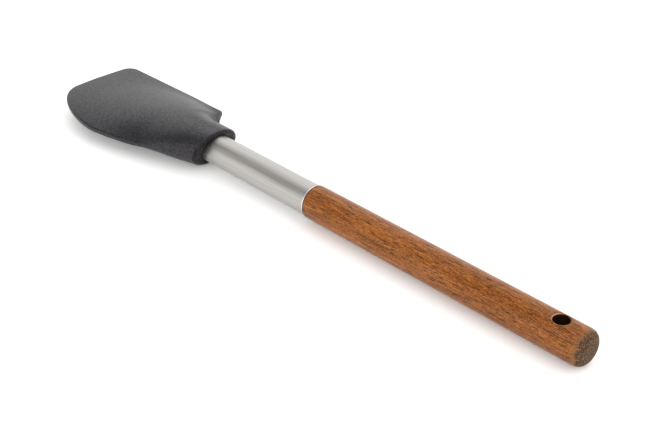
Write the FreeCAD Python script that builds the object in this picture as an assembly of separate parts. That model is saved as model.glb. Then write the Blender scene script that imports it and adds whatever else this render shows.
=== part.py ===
"""Kitchen scraper: a soft silicone head on a steel neck tube with a turned wooden handle.

Millimetres, +Z up. The origin is on the handle's axis, at the centre of the hang hole. The handle's axis is
X, with +X out of the butt and -X towards the blade. The blade lies flat in XY: its straight side faces +Y
and its curved belly faces -Y. The silicone head pulls off the neck along -X.
"""
import FreeCAD, Part
import math
import os

from FreeCAD import Vector

# Handle
handle_length = 150.0        # joint with the tube to the end of the butt
handle_step = 0.5            # the wood stands this far proud of the tube, all round
butt_round = 4.2             # radius of the butt's rounded rim
joint_round = 0.4            # small round on the wood where it meets the tube
spigot_length = 22.0         # turned end glued inside the tube
hole_from_butt = 14.5
hole_dia = 7.0
hole_chamfer = 0.4

# Neck tube
tube_dia = 15.0
tube_wall = 1.0
neck_length = 70.0           # bare tube between the head and the handle
seat_depth = 18.0            # tube inside the head

# Head: plan
blade_length = 77.0          # front edge to the shoulders
waist_length = 14.0          # shoulders to the collar, along the axis
collar_length = 12.5         # waist to the middle of the mouth
straight_front = 25.3        # axis to the straight side, at the front edge
straight_back = 26.8         # axis to the straight side, at the shoulder
front_round = 6.0            # corner between the front edge and the straight side
front_flat_end = 9.0         # the front edge runs straight this far past the axis, towards the belly
belly_reach = 30.0           # axis to the belly's widest point
belly_from_front = 40.0      # front edge to the belly's widest point
shoulder_round = 2.2
waist_hollow = 1.2           # how far the far side's waist curves in from a straight line

# Head: thickness
tip_thickness = 1.6
root_thickness = 2.0         # blade's rim at the shoulders
collar_side_wall = 5.4       # the collar is oval: thick at its sides, thin above and below the tube
collar_top_wall = 2.4
collar_land = 0.3            # depth of the flat that the collar rests on, above and below
mouth_slant = 20.0           # degrees that the mouth leans, upper lip towards the butt
spine_profile = (            # share of the way to the collar, half width and height as shares of the collar's
    (0.16, 0.50, 0.08),
    (0.48, 1.15, 0.52),
    (0.70, 1.48, 0.78),
    (0.84, 1.50, 0.90),
    (0.95, 1.22, 0.98),
)

# Core
plug_length = 18.0
flange_thickness = 2.0
tongue_stop = 4.0            # the tongue ends this far behind the belly's widest point
tongue_width = 11.0
tongue_tip_width = 8.0
tongue_thickness = 4.0
tongue_tip_thickness = 2.0

# Clearances
glue_gap = 0.05              # radial, spigot and plug inside the tube
grip_gap = 0.08              # radial, head's socket over the tube
pocket_gap = 0.3             # all round the tongue, and ahead of the flange

# Places along the axis
x_butt = hole_from_butt
x_joint = x_butt - handle_length
x_mouth = x_joint - neck_length
x_tube_end = x_mouth - seat_depth
x_collar = x_mouth - collar_length
x_shoulder = x_collar - waist_length
x_front = x_shoulder - blade_length
x_belly = x_front + belly_from_front
x_flange = x_tube_end - flange_thickness
x_tongue_tip = x_belly + tongue_stop

handle_dia = tube_dia + 2 * handle_step
tube_bore = tube_dia - 2 * tube_wall
socket_dia = tube_dia + 2 * grip_gap
collar_half_width = socket_dia / 2 + collar_side_wall
collar_half_height = socket_dia / 2 + collar_top_wall
CUT_REACH = 60.0             # longer than any cut needs
OVERCUT = 1.0                # a bore's tool stands this far out of each end
NEAR_ZERO = 1e-3             # lengths below this count as none
X_AXIS = Vector(1, 0, 0)


def rod(x_low, x_high, diameter):
    """Round bar along X between two stations."""
    return Part.makeCylinder(diameter / 2, x_high - x_low, Vector(x_low, 0, 0), X_AXIS)


def round_edges_at(shape, x, radius):
    """Rounds the circular edges that lie wholly at one station."""
    edges = []
    for edge in shape.Edges:
        box = edge.BoundBox
        if abs(box.XMin - x) < NEAR_ZERO and abs(box.XMax - x) < NEAR_ZERO:
            edges.append(edge)
    return shape.makeFillet(radius, edges)


def make_handle():
    """Turned grip with its spigot, rounded butt and cross-drilled hang hole."""
    grip = rod(x_joint, x_butt, handle_dia)
    grip = round_edges_at(grip, x_butt, butt_round)
    grip = round_edges_at(grip, x_joint, joint_round)
    spigot = rod(x_joint - spigot_length, x_joint, tube_bore - 2 * glue_gap)
    body = grip.fuse(spigot)
    radius = hole_dia / 2
    hole = Part.makeCylinder(radius, 2 * handle_dia, Vector(0, 0, -handle_dia))
    body = body.cut(hole)
    rim = math.sqrt((handle_dia / 2) ** 2 - radius ** 2)
    for side in (1, -1):
        low = Vector(0, 0, side * (rim - hole_chamfer))
        flare = 2 * handle_dia
        body = body.cut(Part.makeCone(radius, radius + flare, flare, low, Vector(0, 0, side)))
    return body.removeSplitter()


def make_tube():
    """Plain drawn tube, open at both ends."""
    outside = rod(x_tube_end, x_joint, tube_dia)
    inside = rod(x_tube_end - OVERCUT, x_joint + OVERCUT, tube_bore)
    return outside.cut(inside)


def tongue(gap):
    """Flat tapering tongue grown by a gap on every side."""
    sections = []
    stations = ((x_flange, tongue_width, tongue_thickness),
                (x_tongue_tip - gap, tongue_tip_width, tongue_tip_thickness))
    for x, width, thickness in stations:
        half_y = width / 2 + gap
        half_z = thickness / 2 + gap
        corners = [Vector(x, -half_y, -half_z), Vector(x, half_y, -half_z),
                   Vector(x, half_y, half_z), Vector(x, -half_y, half_z)]
        sections.append(Part.makePolygon(corners + corners[:1]))
    return Part.makeLoft(sections, True, True)


def make_core():
    """Stiff core: plug glued in the tube, flange over the tube's end, and tongue inside the head."""
    plug = rod(x_tube_end, x_tube_end + plug_length, tube_bore - 2 * glue_gap)
    flange = rod(x_flange, x_tube_end, tube_dia)
    return plug.fuse([flange, tongue(0.0)]).removeSplitter()


def shallow_arc(start, end, hollow):
    """Arc between two points in plan, whose middle lies a set distance to the right of the straight line."""
    along = end - start
    side = Vector(along.y, -along.x, 0).normalize()
    middle = (start + end) / 2 + side * hollow
    return Part.Arc(start, middle, end).toShape()


def blade_outline():
    """Closed plan: straight front, far side with a waist, elliptical belly, and an arc to the collar."""
    front_far = Vector(x_front, straight_front, 0)
    front_near = Vector(x_front, -front_flat_end, 0)
    belly = Vector(x_belly, -belly_reach, 0)
    shoulder_far = Vector(x_shoulder, straight_back, 0)
    collar_near = Vector(x_collar, -collar_half_width, 0)
    collar_far = Vector(x_collar, collar_half_width, 0)

    centre = Vector(x_belly, -front_flat_end, 0)
    corner = Part.Ellipse(centre, belly_from_front, belly_reach - front_flat_end)
    corner = Part.Arc(corner, math.pi, 1.5 * math.pi).toShape()
    run = x_collar - x_belly
    drop = belly_reach - collar_half_width
    radius = (run ** 2 + drop ** 2) / (2 * drop)
    half = math.asin(run / radius) / 2
    taper_middle = belly + Vector(radius * math.sin(half), radius * (1 - math.cos(half)), 0)
    taper = Part.Arc(belly, taper_middle, collar_near).toShape()

    edges = [corner, taper, Part.makeLine(collar_near, collar_far),
             shallow_arc(collar_far, shoulder_far, -waist_hollow),
             Part.makeLine(shoulder_far, front_far), Part.makeLine(front_far, front_near)]
    return Part.Wire(Part.__sortEdges__(edges))


def upright_edge(shape, x, y):
    """The slab's straight upright edge nearest to a point in plan."""
    upright = [edge for edge in shape.Edges if edge.BoundBox.XLength + edge.BoundBox.YLength < NEAR_ZERO]
    return min(upright, key=lambda edge: math.hypot(edge.BoundBox.XMin - x, edge.BoundBox.YMin - y))


def make_blade():
    """Thin wedge in the outline's plan, thicker at the shoulders, with its upright corners rounded."""
    tall = 2 * root_thickness
    slab = Part.Face(blade_outline()).extrude(Vector(0, 0, tall))
    slab.translate(Vector(0, 0, -tall / 2))
    slab = slab.makeFillet(front_round, [upright_edge(slab, x_front, straight_front)])
    slab = slab.makeFillet(shoulder_round, [upright_edge(slab, x_shoulder, straight_back)])
    tip = tip_thickness / 2
    root = root_thickness / 2
    profile = [Vector(x_front, -CUT_REACH, -tip), Vector(x_collar, -CUT_REACH, -root),
               Vector(x_collar, -CUT_REACH, root), Vector(x_front, -CUT_REACH, tip)]
    wedge = Part.Face(Part.makePolygon(profile + profile[:1])).extrude(Vector(0, 2 * CUT_REACH, 0))
    return slab.common(wedge)


def oval(x, half_width, half_height):
    """Upright elliptical wire at one station."""
    wire = Part.Wire([Part.Ellipse(Vector(0, 0, 0), half_width, half_height).toShape()])
    turn = FreeCAD.Rotation(Vector(0, 1, 0), Vector(0, 0, 1), X_AXIS)
    wire.Placement = FreeCAD.Placement(Vector(x, 0, 0), turn)
    return wire


def make_spine():
    """Raised spine that grows out of the blade, spreads to the waist, and becomes the oval collar."""
    wide = collar_half_width
    high = collar_half_height
    past_mouth = 2 * high * math.tan(math.radians(mouth_slant))
    sections = [oval(x_front + place * (x_collar - x_front), width * wide, height * high)
                for place, width, height in spine_profile]
    sections.append(oval(x_mouth - collar_length / 2, wide, high))
    sections.append(oval(x_mouth + past_mouth, wide, high))
    spine = Part.makeLoft(sections, True, False)
    tall = 2 * (high - collar_land)
    between_lands = Part.makeBox(-x_front, 2 * CUT_REACH, tall, Vector(x_front, -CUT_REACH, -tall / 2))
    return spine.common(between_lands)


def make_head():
    """Silicone moulding: blade, spine and collar, with a socket for the tube and a pocket for the tongue."""
    body = make_blade().fuse(make_spine())
    beyond = Part.makeBox(CUT_REACH, 2 * CUT_REACH, 2 * CUT_REACH, Vector(0, -CUT_REACH, -CUT_REACH))
    beyond.rotate(Vector(0, 0, 0), Vector(0, 1, 0), mouth_slant)
    beyond.translate(Vector(x_mouth, 0, 0))
    body = body.cut(beyond)
    socket = rod(x_flange - pocket_gap, x_mouth + CUT_REACH, socket_dia)
    body = body.cut(socket)
    body = body.cut(tongue(pocket_gap))
    return body


def write(name, shape):
    shape.exportStep(os.path.join("parts", name + ".step"))
    print(name, len(shape.Solids), "solid", "valid" if shape.isValid() else "INVALID", round(shape.Volume, 1))


os.makedirs("parts", exist_ok=True)
write("handle", make_handle())
write("neck_tube", make_tube())
write("head_core", make_core())
write("silicone_head", make_head())
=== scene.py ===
import math

import bmesh
import bpy
import numpy as np
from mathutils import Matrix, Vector


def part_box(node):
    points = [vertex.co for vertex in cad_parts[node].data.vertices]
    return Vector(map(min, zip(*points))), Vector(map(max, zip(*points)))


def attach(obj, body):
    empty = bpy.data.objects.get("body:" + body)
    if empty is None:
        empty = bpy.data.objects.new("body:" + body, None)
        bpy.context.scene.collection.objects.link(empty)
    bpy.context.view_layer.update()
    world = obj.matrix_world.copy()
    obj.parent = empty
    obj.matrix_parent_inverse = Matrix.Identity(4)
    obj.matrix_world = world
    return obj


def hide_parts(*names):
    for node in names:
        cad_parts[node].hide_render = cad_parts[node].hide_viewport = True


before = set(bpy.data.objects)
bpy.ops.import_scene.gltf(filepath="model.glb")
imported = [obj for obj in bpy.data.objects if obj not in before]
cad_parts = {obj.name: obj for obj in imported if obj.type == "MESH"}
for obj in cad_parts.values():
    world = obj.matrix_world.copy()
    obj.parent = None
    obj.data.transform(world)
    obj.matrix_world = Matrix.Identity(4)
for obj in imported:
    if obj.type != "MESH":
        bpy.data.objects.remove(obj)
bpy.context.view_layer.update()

# ------------------------------------------------------------------------------------------------------------
# The table and the studio round it. The scraper lies on a white table, inside a white light tent with one dim
# opening, high up beyond the head. The opening shows as a dark streak along the steel tube.
table_white = (0.93, 0.93, 0.93, 1.0)
table_dullness = 0.9
table_gloss = 0.1
table_glow = 0.16
table_half = 2.5
collar_rest_inset = 0.008
butt_rest_inset = 0.006
tent_white = (1.0, 0.995, 0.985, 1.0)
tent_strength = 1.45
opening_strength = 0.25
opening_heading = Vector((-0.61, -0.38, 0.70)).normalized()
opening_core_angle = math.radians(4.0)
opening_edge_angle = math.radians(34.0)
collar_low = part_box("silicone_head")[0].z
handle_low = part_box("handle")[0].z
collar_rest_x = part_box("silicone_head")[1].x - collar_rest_inset
butt_rest_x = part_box("handle")[1].x - butt_rest_inset
table_slope = (handle_low - collar_low) / (butt_rest_x - collar_rest_x)


def table_height(x):
    """Height of the table at a station: a straight line under the collar and the butt, which rest on it."""
    return collar_low + (x - collar_rest_x) * table_slope


corners = np.array([(-1, -1), (1, -1), (1, 1), (-1, 1)]) * table_half
mesh = bpy.data.meshes.new("table")
mesh.from_pydata([(x, y, table_height(x)) for x, y in corners], [], [(0, 1, 2, 3)])
table = bpy.data.objects.new("table", mesh)
bpy.context.scene.collection.objects.link(table)
paper = bpy.data.materials.new("white_table")
paper.use_nodes = True
paper_shader = paper.node_tree.nodes["Principled BSDF"]
paper_shader.inputs["Base Color"].default_value = table_white
paper_shader.inputs["Roughness"].default_value = table_dullness
paper_shader.inputs["Specular IOR Level"].default_value = table_gloss
paper_shader.inputs["Emission Color"].default_value = (1.0, 1.0, 1.0, 1.0)
paper_shader.inputs["Emission Strength"].default_value = table_glow
mesh.materials.append(paper)

scene = bpy.context.scene
scene.view_settings.view_transform = "Standard"
scene.view_settings.look = "None"
world = bpy.data.worlds.new("studio_tent")
scene.world = world
world.use_nodes = True
tent = world.node_tree
room = tent.nodes["Background"]
room.inputs["Color"].default_value = tent_white
heading = tent.nodes.new("ShaderNodeTexCoord")
toward = tent.nodes.new("ShaderNodeVectorMath")
toward.operation = "DOT_PRODUCT"
toward.inputs[1].default_value = opening_heading
tent.links.new(heading.outputs["Generated"], toward.inputs[0])
opening = tent.nodes.new("ShaderNodeMapRange")
opening.interpolation_type = "SMOOTHSTEP"
opening.inputs["From Min"].default_value = math.cos(opening_edge_angle)
opening.inputs["From Max"].default_value = math.cos(opening_core_angle)
opening.inputs["To Min"].default_value = tent_strength
opening.inputs["To Max"].default_value = opening_strength
tent.links.new(toward.outputs["Value"], opening.inputs["Value"])
tent.links.new(opening.outputs["Result"], room.inputs["Strength"])

# ------------------------------------------------------------------------------------------------------------
# The camera: a portrait lens over the near right side of the handle, held level, looking down at the joint
# between the wood and the steel.
view_azimuth = math.radians(46.0)
view_elevation = math.radians(32.02)
view_distance = 0.5374
view_target = Vector((-0.1264, 0.0027, -0.0078))
camera_data = bpy.data.cameras.new("camera")
camera_data.sensor_width = 36.0
camera_data.lens = 64.86
camera_data.clip_start = 0.01
camera = bpy.data.objects.new("camera", camera_data)
scene.collection.objects.link(camera)
scene.camera = camera
back = Vector((math.sin(view_azimuth) * math.cos(view_elevation),
               -math.cos(view_azimuth) * math.cos(view_elevation),
               math.sin(view_elevation)))
camera.location = view_target + back * view_distance
camera.rotation_mode = "QUATERNION"
camera.rotation_quaternion = (-back).to_track_quat("-Z", "Y")

# ------------------------------------------------------------------------------------------------------------
# The silicone head: one soft charcoal moulding, pushed over the end of the tube. A thin blade with a straight
# side and a curved belly rises into a spine, which narrows at the waist and becomes an oval collar with a
# slanting mouth. The blade's near side sags a little under its own weight.
head_low, head_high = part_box("silicone_head")
tube_low, tube_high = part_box("neck_tube")
core_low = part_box("head_core")[0]
seat_depth = 0.018
front = head_low.x
mouth = tube_low.x + seat_depth

# Plan: distances behind the front edge, and reaches from the axis.
blade_length = 0.0770
waist_length = 0.0140
waist_curve = 0.35
notch_steepness = 1.35
shoulder_reach = 0.0268
shoulder_round = 0.0022
notch_round = 0.0020
straight_front_reach = 0.0253
front_round = 0.0060
front_flat_end = 0.0090
belly_reach = 0.0300
belly_from_front = 0.0400
belly_draw = 1.35
collar_half_width = 0.0130

# Thickness: the wing is the thin blade, the spine is the swelling on it.
land_height = head_high.z
land_round = 0.0004
rim_round = 0.0009
wing_swell = 0.0004
wing_swell_run = 0.006
crest_line = 0.0020
crest_stations = np.array([0.0, 0.019, 0.044, 0.064, 0.076, 0.090, 0.105])
crest_heights = np.array([0.0008, 0.0024, 0.0052, 0.0078, 0.0090, 0.0099, 0.0100])
spine_stations = np.array([0.0, 0.056, 0.068, 0.076, 0.082, 0.088, 0.094, 0.105])
spine_shares = np.array([1.0, 1.0, 0.93, 0.84, 0.84, 0.92, 1.0, 1.0])
far_power = 2.2
near_power = 2.0
collar_power = 2.0
far_fall = 1.0
near_fall = 0.85
collar_fall = 0.5
far_oval_start = 0.080
far_oval_run = 0.014
near_oval_start = 0.062
near_oval_run = 0.032
spine_fillet = 0.0022
least_fillet = 0.00002
edge_slope = 3.0
least_edge_slope = 0.3
belly_sag = 0.0022
sag_start = 0.004
sag_rise = 0.040
sag_fade_start = 0.066
sag_fade = 0.026

# Mouth, socket for the tube, and pocket for the core's tongue.
mouth_lean = math.tan(math.radians(20.0))
lean_start = 0.020
lean_run = 0.018
outer_lip = mouth + 0.0004
lip_round = 0.0022
mouth_recess = 0.0003
inner_round = 0.0001
grip_gap = 0.0001
socket_radius = tube_high.z + grip_gap
flange_thickness = 0.0020
pocket_gap = 0.0003
pocket_root = (0.0058, 0.0023)
pocket_tip = (0.0043, 0.0013)
pocket_squareness = 6.0

# Mesh density.
around_count = 240
row_count = 230
front_bunching = 0.35
rim_bunching = 1.5
bore_rows = 12
lip_steps = 6
inner_round_steps = 4
weld_distance = 2e-6
sliver_length = 1e-7


def smooth_step(t):
    """Rises from 0 to 1 with level ends: 3t^2 - 2t^3, with t held between 0 and 1."""
    t = np.clip(t, 0.0, 1.0)
    return t * t * (3.0 - 2.0 * t)


def soft_max(a, b, reach):
    """The larger of two heights, with the crease between them filled by a parabola of the given reach."""
    overlap = np.maximum(reach - np.abs(a - b), 0.0)
    return np.maximum(a, b) + overlap ** 2 / (4.0 * reach)


def soft_min(a, b, reach):
    """The smaller of two values, with the corner between them cut by a parabola of the given reach."""
    return -soft_max(-a, -b, reach)


def waist(d):
    """Half width behind the shoulder: falls to the collar as (1 - s)(1 - c s), with s from 0 to 1."""
    s = np.clip((d - blade_length) / waist_length, 0.0, 1.0)
    narrowing = shoulder_reach - collar_half_width
    ahead = np.minimum(d - blade_length, 0.0)
    fall = narrowing * (1.0 - s) * (1.0 - waist_curve * s)
    return collar_half_width + fall - ahead * narrowing / waist_length * notch_steepness


def straight_edge(d):
    """Reach of the straight side behind the front edge: a line with a quarter circle at the front."""
    line = straight_front_reach + (shoulder_reach - straight_front_reach) * d / blade_length
    into = np.clip(front_round - d, 0.0, front_round)
    corner = front_round - np.sqrt(np.maximum(front_round ** 2 - into ** 2, 0.0))
    side = soft_min(line - corner, waist(d), shoulder_round)
    return soft_max(side, collar_half_width + 0.0 * d, notch_round)


def belly_edge(d):
    """Reach of the belly: a quarter ellipse from the front edge, which then draws in to the mouth as s^p."""
    ahead = np.clip(1.0 - d / belly_from_front, 0.0, 1.0)
    ellipse = front_flat_end + (belly_reach - front_flat_end) * np.sqrt(1.0 - ahead ** 2)
    behind = np.maximum(d - belly_from_front, 0.0) / (mouth - front - belly_from_front)
    return ellipse - (belly_reach - collar_half_width) * behind ** belly_draw


def through_stations(d, stations, values):
    """Smooth curve near a list of stations: straight runs between them, averaged over a 9 mm stretch."""
    fine = np.linspace(-0.02, 0.13, 601)
    kernel = np.hanning(37)
    smooth = np.convolve(np.interp(fine, stations, values), kernel / kernel.sum(), mode="same")
    return np.interp(d, fine, smooth)


def distance_inside(d, y):
    """Distance in from the plan's edge: the gap in y over sqrt(1 + slope^2), or the front distance."""
    step = 1e-5
    far = straight_edge(d)
    near = belly_edge(d)
    far_slope = (straight_edge(d + step) - far) / step
    near_slope = (belly_edge(d + step) - near) / step
    sideways = np.minimum((far - y) / np.sqrt(1 + far_slope ** 2), (y + near) / np.sqrt(1 + near_slope ** 2))
    return np.clip(np.minimum(sideways, d), 0.0, None)


def half_thickness(d, y):
    """Half the head's thickness: a thin wing with a round rim, and a spine (1 - u^a)^b across the width."""
    inside = distance_inside(d, y)
    rim = rim_round * np.sqrt(1.0 - (1.0 - np.clip(inside / rim_round, 0.0, 1.0)) ** 2)
    wing = rim + wing_swell * (1.0 - np.exp(-inside / wing_swell_run))
    crest = through_stations(d, crest_stations, crest_heights)
    share = through_stations(d, spine_stations, spine_shares)
    far_oval = smooth_step((d - far_oval_start) / far_oval_run)
    near_oval = smooth_step((d - near_oval_start) / near_oval_run)
    oval = np.where(y > crest_line, far_oval, near_oval)
    reach = np.where(y > crest_line, straight_edge(d) * (share + (1.0 - share) * oval), belly_edge(d))
    offset = crest_line * (1.0 - oval)
    across = np.clip(np.abs(y - offset) / (reach - np.sign(y - offset) * offset), 0.0, 1.2)
    power = np.where(y > offset, far_power, near_power) * (1.0 - oval) + collar_power * oval
    ends = np.where(y > offset, far_fall, near_fall) * (1.0 - oval) + collar_fall * oval
    fall = 1.0 - across ** power
    bump = crest * np.sign(fall) * np.abs(fall) ** ends
    height = soft_max(wing * (1.0 - oval), bump, spine_fillet * (1.0 - oval) + least_fillet)
    height = np.maximum(height, np.minimum(least_edge_slope * inside, rim))
    height = np.minimum(height, rim + inside * edge_slope + oval)
    return soft_min(np.maximum(height, 0.0), land_height + 0.0 * height, land_round)


def sag(d, y):
    """Drop of the soft blade's middle layer on the belly side: grows with the square of the distance out."""
    out = np.clip(-y / belly_edge(d), 0.0, 1.0)
    along = smooth_step((d - sag_start) / sag_rise) * (1.0 - smooth_step((d - sag_fade_start) / sag_fade))
    return belly_sag * along * out ** 2


def ring(centre_x, half_y, half_z, power, angle):
    """Closed ring across the axis: a superellipse, cos and sin raised to 2 / power with their signs kept."""
    c, s = np.cos(angle), np.sin(angle)
    y = half_y * np.sign(c) * np.abs(c) ** (2.0 / power)
    z = half_z * np.sign(s) * np.abs(s) ** (2.0 / power)
    return np.stack([np.full_like(y, centre_x), y, z], axis=-1)


def outer_rows(angle):
    """Rings from the front edge to the lip: y runs as cos across the plan, z is half thickness less sag."""
    length = outer_lip - front - lip_round
    sweep = np.linspace(0.0, 1.0, row_count)
    early = front_bunching * (1.0 - np.cos(sweep * np.pi / 2))
    d = length * early + length * (1.0 - front_bunching) * sweep ** rim_bunching
    far, near = straight_edge(d), belly_edge(d)
    y = ((far - near) / 2)[:, None] + ((far + near) / 2)[:, None] * np.cos(angle)
    along = np.broadcast_to(d[:, None], y.shape)
    z = half_thickness(along, y) * np.sign(np.round(np.sin(angle), 9)) - sag(along, y)
    return np.stack([np.broadcast_to(front + d[:, None], y.shape), y, z], axis=-1)


def lip_rows(last):
    """Quarter-round lip: each ring shrinks by r(1 - cos t) and goes on by r sin t."""
    size = np.hypot(last[:, 1], last[:, 2])[:, None]
    rows = []
    for turn in np.linspace(0.0, np.pi / 2, lip_steps + 1)[1:]:
        row = last.copy()
        row[:, 1:] *= 1.0 - lip_round * (1.0 - math.cos(turn)) / size
        row[:, 0] += lip_round * math.sin(turn)
        rows.append(row)
    return rows


def socket_rows(lip_end, angle):
    """Mouth face, small inner round r(1 - sin t), straight bore, and the flat pocket for the tongue."""
    inner_edge = mouth - mouth_recess
    face_ring = ring(inner_edge, socket_radius + inner_round, socket_radius + inner_round, 2.0, angle)
    rows = [lip_end * (1 - t) + face_ring * t for t in (0.35, 0.7, 1.0)]
    for turn in np.linspace(0.0, np.pi / 2, inner_round_steps + 1)[1:]:
        radius = socket_radius + inner_round * (1 - math.sin(turn))
        rows.append(ring(inner_edge - inner_round * (1 - math.cos(turn)), radius, radius, 2.0, angle))
    bore_end = tube_low.x - flange_thickness - pocket_gap
    for x in np.linspace(inner_edge - 2 * inner_round, bore_end, bore_rows):
        rows.append(ring(x, socket_radius, socket_radius, 2.0, angle))
    rows.append(ring(bore_end, *pocket_root, pocket_squareness, angle))
    rows.append(ring(core_low.x - pocket_gap, *pocket_tip, pocket_squareness, angle))
    rows.append(ring(core_low.x - pocket_gap, pocket_tip[0], 0.0, pocket_squareness, angle))
    return rows


def closed_skin(name, rows):
    """Mesh over a grid of rings, whose first and last rings are flat and are sewn shut top to bottom."""
    count, around = rows.shape[:2]
    place = np.arange(count * around).reshape(count, around)
    after = np.roll(place, -1, axis=1)
    faces = np.stack([place[:-1], after[:-1], after[1:], place[1:]], axis=-1).reshape(-1, 4)
    skin = bpy.data.meshes.new(name)
    skin.from_pydata(rows.reshape(-1, 3).tolist(), [], faces.tolist())
    work = bmesh.new()
    work.from_mesh(skin)
    bmesh.ops.remove_doubles(work, verts=work.verts, dist=weld_distance)
    bmesh.ops.dissolve_degenerate(work, edges=work.edges, dist=sliver_length)
    bmesh.ops.recalc_face_normals(work, faces=work.faces)
    work.to_mesh(skin)
    work.free()
    skin.polygons.foreach_set("use_smooth", np.ones(len(skin.polygons), dtype=bool))
    piece = bpy.data.objects.new(name, skin)
    scene.collection.objects.link(piece)
    return piece


angle = np.arange(around_count) / around_count * 2.0 * np.pi
outer = outer_rows(angle)
lip = lip_rows(outer[-1])
rows = np.concatenate([outer, np.array(lip), np.array(socket_rows(lip[-1], angle))])
slant = smooth_step((rows[..., 0] - (mouth - lean_start)) / lean_run)
rows[..., 0] += rows[..., 2] * mouth_lean * slant
head = closed_skin("scraper_head", rows)
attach(head, "head")
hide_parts("silicone_head")


def fresh_material(name):
    """New material, with its node tree, its shader and the object's own coordinates."""
    material = bpy.data.materials.new(name)
    material.use_nodes = True
    tree = material.node_tree
    place = tree.nodes.new("ShaderNodeTexCoord").outputs["Object"]
    return material, tree, tree.nodes["Principled BSDF"], place


def stretched_noise(tree, place, scale, detail=2.0, twist=0.0, shift=0.0):
    """Noise in a frame scaled by three factors, so that its blots are long or short along each axis."""
    mapping = tree.nodes.new("ShaderNodeMapping")
    mapping.inputs["Scale"].default_value = scale
    mapping.inputs["Location"].default_value = (shift, shift, shift)
    tree.links.new(place, mapping.inputs["Vector"])
    noise = tree.nodes.new("ShaderNodeTexNoise")
    noise.inputs["Scale"].default_value = 1.0
    noise.inputs["Detail"].default_value = detail
    noise.inputs["Distortion"].default_value = twist
    tree.links.new(mapping.outputs["Vector"], noise.inputs["Vector"])
    return noise.outputs["Fac"]


def ramp(tree, value, stops):
    """Colours or greys at given values, with straight runs between them."""
    node = tree.nodes.new("ShaderNodeValToRGB")
    for spare in range(len(stops) - 2):
        node.color_ramp.elements.new(0.5)
    for element, (position, colour) in zip(node.color_ramp.elements, stops):
        element.position = position
        element.color = colour if isinstance(colour, tuple) else (colour, colour, colour, 1)
    tree.links.new(value, node.inputs["Fac"])
    return node.outputs["Color"]


def feed(tree, socket, value):
    """Sets a socket to a constant, or links it to another socket."""
    if isinstance(value, (int, float, tuple)):
        socket.default_value = value
    else:
        tree.links.new(value, socket)


def arithmetic(tree, operation, a, b, c=0.0):
    """One sum on two or three sockets or numbers."""
    node = tree.nodes.new("ShaderNodeMath")
    node.operation = operation
    for socket, value in zip(node.inputs, (a, b, c)):
        feed(tree, socket, value)
    return node.outputs["Value"]


def step_up(tree, value, low, high):
    """Rises from 0 to 1 as a socket's value goes from low to high, and stays there."""
    node = tree.nodes.new("ShaderNodeMapRange")
    node.interpolation_type = "SMOOTHSTEP"
    node.inputs["From Min"].default_value = low
    node.inputs["From Max"].default_value = high
    tree.links.new(value, node.inputs["Value"])
    return node.outputs["Result"]


def axes_of(tree, place):
    """The three coordinates of a place, apart."""
    split = tree.nodes.new("ShaderNodeSeparateXYZ")
    tree.links.new(place, split.inputs["Vector"])
    return split.outputs["X"], split.outputs["Y"], split.outputs["Z"]


def roughen(tree, shader, height, strength, depth):
    """Fine relief on a shader's normal."""
    bump = tree.nodes.new("ShaderNodeBump")
    bump.inputs["Strength"].default_value = strength
    bump.inputs["Distance"].default_value = depth
    tree.links.new(height, bump.inputs["Height"])
    tree.links.new(bump.outputs["Normal"], shader.inputs["Normal"])


charcoal_dark = (0.0035, 0.0034, 0.0040, 1)
charcoal_light = (0.0115, 0.0111, 0.0124, 1)
skin_gloss = 0.445
mouth_gloss = 0.22
silicone, tree, shader, place = fresh_material("charcoal_silicone")
shader.inputs["Roughness"].default_value = 0.40
shader.inputs["Specular Tint"].default_value = (0.965, 0.915, 1.0, 1.0)
grain = stretched_noise(tree, place, (1100.0, 1100.0, 1100.0), 4.0)
cloud = stretched_noise(tree, place, (60.0, 60.0, 60.0), 4.0)
grey_level = arithmetic(tree, "MULTIPLY_ADD", grain, 0.6, arithmetic(tree, "MULTIPLY", cloud, 0.4))
charcoal = ramp(tree, grey_level, ((0.30, charcoal_dark), (0.70, charcoal_light)))
tree.links.new(charcoal, shader.inputs["Base Color"])
roughen(tree, shader, grain, 0.35, 0.0002)
along, sideways, upward = axes_of(tree, place)
square_to_mouth = arithmetic(tree, "MULTIPLY_ADD", upward, -mouth_lean, along)
mouth_share = step_up(tree, square_to_mouth, outer_lip - lip_round, outer_lip - lip_round / 3)
gloss = arithmetic(tree, "MULTIPLY_ADD", mouth_share, mouth_gloss - skin_gloss, skin_gloss)
speckle = arithmetic(tree, "MULTIPLY_ADD", grain, 2.4, -0.2)
tree.links.new(arithmetic(tree, "MULTIPLY", speckle, gloss), shader.inputs["Specular IOR Level"])
head.data.materials.append(silicone)

# ------------------------------------------------------------------------------------------------------------
# The neck: a drawn stainless tube, brushed along its length, glued over the handle's spigot. Its end by the
# wood has a painted highlight: a pale steel colour on its last half millimetre, for the light caught there.
steel_dark = (0.385, 0.373, 0.353, 1)
steel_light = (0.500, 0.488, 0.470, 1)
steel_end_highlight = (0.86, 0.81, 0.74, 1)
end_highlight_start = 0.0009
end_highlight_full = 0.0005


def blend_colours(tree, share, below, above, kind="MIX"):
    """Lays one colour over another by a share from 0 to 1."""
    node = tree.nodes.new("ShaderNodeMix")
    node.data_type = "RGBA"
    node.blend_type = kind
    feed(tree, node.inputs[0], share)
    feed(tree, node.inputs[6], below)
    feed(tree, node.inputs[7], above)
    return node.outputs[2]


def dress(node_name, material):
    """Gives one material to every slot of a piece that keeps its shape."""
    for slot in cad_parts[node_name].material_slots:
        slot.material = material


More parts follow.
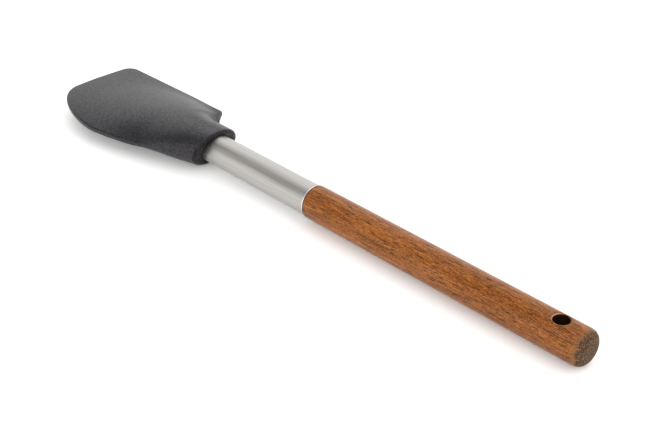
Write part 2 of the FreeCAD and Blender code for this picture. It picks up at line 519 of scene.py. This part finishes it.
steel, tree, shader, place = fresh_material("brushed_stainless")
shader.inputs["Metallic"].default_value = 1.0
shader.inputs["Anisotropic"].default_value = 0.3
tangent = tree.nodes.new("ShaderNodeTangent")
tangent.direction_type = "RADIAL"
tangent.axis = "X"
tree.links.new(tangent.outputs["Tangent"], shader.inputs["Tangent"])
scratches = stretched_noise(tree, place, (28.0, 2600.0, 2600.0), 3.0)
along, sideways, upward = axes_of(tree, place)
# Painted highlight: a pale steel colour on the tube's last half millimetre by the wood, fading in just before
# it.
end_highlight_share = step_up(tree, along, tube_high.x - end_highlight_start, tube_high.x - end_highlight_full)
brushed = ramp(tree, scratches, ((0.30, steel_dark), (0.70, steel_light)))
tree.links.new(blend_colours(tree, end_highlight_share, brushed, steel_end_highlight), shader.inputs["Base Color"])
tree.links.new(arithmetic(tree, "MULTIPLY_ADD", scratches, 0.14, 0.34), shader.inputs["Roughness"])
roughen(tree, shader, scratches, 0.25, 0.00003)
dress("neck_tube", steel)

# ------------------------------------------------------------------------------------------------------------
# The handle: a turned hardwood grip, rounded at the butt and cross-drilled for hanging, rubbed with oil. The
# pores run along it as short dark flecks. The end grain at the butt is dark and mottled.
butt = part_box("handle")[1].x
joint = tube_high.x
hole_radius = 0.0035
wood_light = (0.385, 0.140, 0.026, 1)
wood_middle = (0.250, 0.076, 0.0100, 1)
wood_dark = (0.112, 0.034, 0.0062, 1)
wood_pink = (0.310, 0.112, 0.042, 1)
pore_brown = (0.0160, 0.0060, 0.0022, 1)
end_grain_dark = (0.020, 0.0105, 0.0055, 1)
end_grain_middle = (0.062, 0.035, 0.018, 1)
end_grain_light = (0.260, 0.130, 0.062, 1)
# The next three colours are painted light: shade on the hole's wall, a highlight on its rim, shade in the gap
# at the joint.
hole_shade_brown = (0.020, 0.0085, 0.0035, 1)
hole_rim_highlight = (0.62, 0.44, 0.30, 1)
joint_shade_black = (0.010, 0.006, 0.004, 1)

# Distances ahead of the butt where its lighter ring and its end grain start and are full.
border_wander = 0.0050
ring_start = 0.0050
ring_full = 0.0030
end_grain_start = 0.0032
end_grain_full = 0.0016

# Distances behind the joint where its painted shade line fades, and outside the hole where its painted rim
# highlight and its painted wall shade fade.
joint_shade_fade_start = 0.00055
joint_shade_fade_end = 0.00095
rim_fade_start = 0.0002
rim_fade_end = 0.0005
rim_turn = 0.0024
wall_fade_start = 0.00002
wall_fade_end = 0.00012


def step_down(tree, value, low, high):
    """Falls from 1 to 0 as a socket's value goes from low to high, and stays there."""
    return arithmetic(tree, "SUBTRACT", 1.0, step_up(tree, value, low, high))


wood, tree, shader, place = fresh_material("oiled_hardwood")
shader.inputs["Specular IOR Level"].default_value = 0.18
along, sideways, upward = axes_of(tree, place)

# Grain: wide figure and bands, fine fibres, and a speck on everything.
figure = stretched_noise(tree, place, (14.0, 420.0, 420.0), 3.0, 0.5)
band = stretched_noise(tree, place, (9.0, 150.0, 150.0), 2.0, 0.3, 5.0)
fibre = stretched_noise(tree, place, (190.0, 2900.0, 2900.0), 2.0, 0.1)
speck = stretched_noise(tree, place, (1500.0, 3400.0, 3400.0), 1.0)
grain_level = arithmetic(tree, "MULTIPLY_ADD", figure, 0.36, arithmetic(tree, "MULTIPLY", fibre, 0.37))
grain_level = arithmetic(tree, "MULTIPLY_ADD", band, 0.15, grain_level)
grain_level = arithmetic(tree, "MULTIPLY_ADD", speck, 0.12, grain_level)
colour = ramp(tree, grain_level, ((0.37, wood_dark), (0.49, wood_middle), (0.62, wood_light)))
blush = stretched_noise(tree, place, (40.0, 420.0, 420.0), 3.0, 0.5, 14.0)
blush = arithmetic(tree, "MULTIPLY", step_up(tree, blush, 0.42, 0.70), 0.55)
colour = blend_colours(tree, blush, colour, wood_pink)
mottle = ramp(tree, speck, ((0.28, 0.55), (0.50, 1.0), (0.72, 1.55)))
colour = blend_colours(tree, 1.0, colour, mottle, "MULTIPLY")

# Pores, thicker towards the butt, and longer dark vessels.
near_butt = step_up(tree, along, joint, butt)
fleck = stretched_noise(tree, place, (230.0, 3200.0, 3200.0), 1.0, 0.0, 2.0)
fleck_line = arithmetic(tree, "MULTIPLY_ADD", near_butt, -0.030, 0.600)
pores = step_up(tree, arithmetic(tree, "SUBTRACT", fleck, fleck_line), 0.0, 0.050)
colour = blend_colours(tree, arithmetic(tree, "MULTIPLY", pores, 0.88), colour, pore_brown)
vessel = stretched_noise(tree, place, (60.0, 1900.0, 1900.0), 1.0, 0.1, 9.0)
streaks = step_up(tree, vessel, 0.58, 0.66)
colour = blend_colours(tree, arithmetic(tree, "MULTIPLY", streaks, 0.60), colour, wood_dark)

# Butt: a lighter ring and then the end grain, with a border that wanders.
ragged = stretched_noise(tree, place, (700.0, 1300.0, 1300.0), 4.0)
steady_place = arithmetic(tree, "SUBTRACT", along, border_wander / 2)
edge_place = arithmetic(tree, "MULTIPLY_ADD", ragged, border_wander, steady_place)
lighter_ring = step_up(tree, edge_place, butt - ring_start, butt - ring_full)
colour = blend_colours(tree, arithmetic(tree, "MULTIPLY", lighter_ring, 0.35), colour, end_grain_light)
end_mask = step_up(tree, edge_place, butt - end_grain_start, butt - end_grain_full)
end_speck = stretched_noise(tree, place, (2200.0, 2600.0, 2600.0), 3.0)
end_stops = ((0.36, end_grain_dark), (0.50, end_grain_middle), (0.66, end_grain_light))
colour = blend_colours(tree, end_mask, colour, ramp(tree, end_speck, end_stops))

# Painted shade: a near-black line on the wood where it meets the steel, for the shadow in the gap between
# them.
joint_shade_share = step_down(tree, along, joint + joint_shade_fade_start, joint + joint_shade_fade_end)
colour = blend_colours(tree, arithmetic(tree, "MULTIPLY", joint_shade_share, 0.9), colour, joint_shade_black)

# Hang hole: painted shade on its wall, and a painted highlight on the near side of its rim. Distance is
# measured from the upright axis.
flat = tree.nodes.new("ShaderNodeVectorMath")
flat.operation = "MULTIPLY"
flat.inputs[1].default_value = (1.0, 1.0, 0.0)
tree.links.new(place, flat.inputs[0])
from_hole = tree.nodes.new("ShaderNodeVectorMath")
from_hole.operation = "LENGTH"
tree.links.new(flat.outputs["Vector"], from_hole.inputs[0])
hole_distance = from_hole.outputs["Value"]
# Painted highlight: a pale band round the hole's rim, on one side only, for the light its chamfer catches.
rim_highlight_reach = step_down(tree, hole_distance, hole_radius + rim_fade_start, hole_radius + rim_fade_end)
rim_highlight_side = step_up(tree, arithmetic(tree, "ADD", along, sideways), rim_turn, -rim_turn)
rim_highlight_share = arithmetic(tree, "MULTIPLY", rim_highlight_reach, rim_highlight_side)
colour = blend_colours(tree, arithmetic(tree, "MULTIPLY", rim_highlight_share, 0.65), colour, hole_rim_highlight)
# Painted shade: a dark brown over the hole's wall.
wall_shade_share = step_down(tree, hole_distance, hole_radius + wall_fade_start, hole_radius + wall_fade_end)
colour = blend_colours(tree, wall_shade_share, colour, hole_shade_brown)
tree.links.new(colour, shader.inputs["Base Color"])

# Polish and relief: the end grain is dull, the pores are sunk.
polish = arithmetic(tree, "MULTIPLY_ADD", fibre, 0.22, 0.20)
polish = arithmetic(tree, "MAXIMUM", polish, arithmetic(tree, "MULTIPLY", end_mask, 0.70))
tree.links.new(polish, shader.inputs["Roughness"])
relief = arithmetic(tree, "MULTIPLY_ADD", pores, -0.8, arithmetic(tree, "MULTIPLY", fibre, 0.5))
relief = arithmetic(tree, "ADD", relief, arithmetic(tree, "MULTIPLY", end_mask, end_speck))
roughen(tree, shader, relief, 0.35, 0.00012)
dress("handle", wood)

# ------------------------------------------------------------------------------------------------------------
# The core: a stiff tongue inside the head, moulded in glass-filled black nylon with a plug that is glued in
# the mouth of the tube. It shows only when the head is pulled off.
nylon_dark = (0.012, 0.012, 0.013, 1)
nylon_light = (0.032, 0.032, 0.035, 1)
nylon, tree, shader, place = fresh_material("black_nylon")
flow = stretched_noise(tree, place, (120.0, 700.0, 700.0), 3.0, 0.4)
tree.links.new(ramp(tree, flow, ((0.30, nylon_dark), (0.70, nylon_light))), shader.inputs["Base Color"])
spark = stretched_noise(tree, place, (2400.0, 2400.0, 2400.0), 3.0)
tree.links.new(arithmetic(tree, "MULTIPLY_ADD", spark, 0.30, 0.33), shader.inputs["Roughness"])
roughen(tree, shader, spark, 0.3, 0.00008)
dress("head_core", nylon)
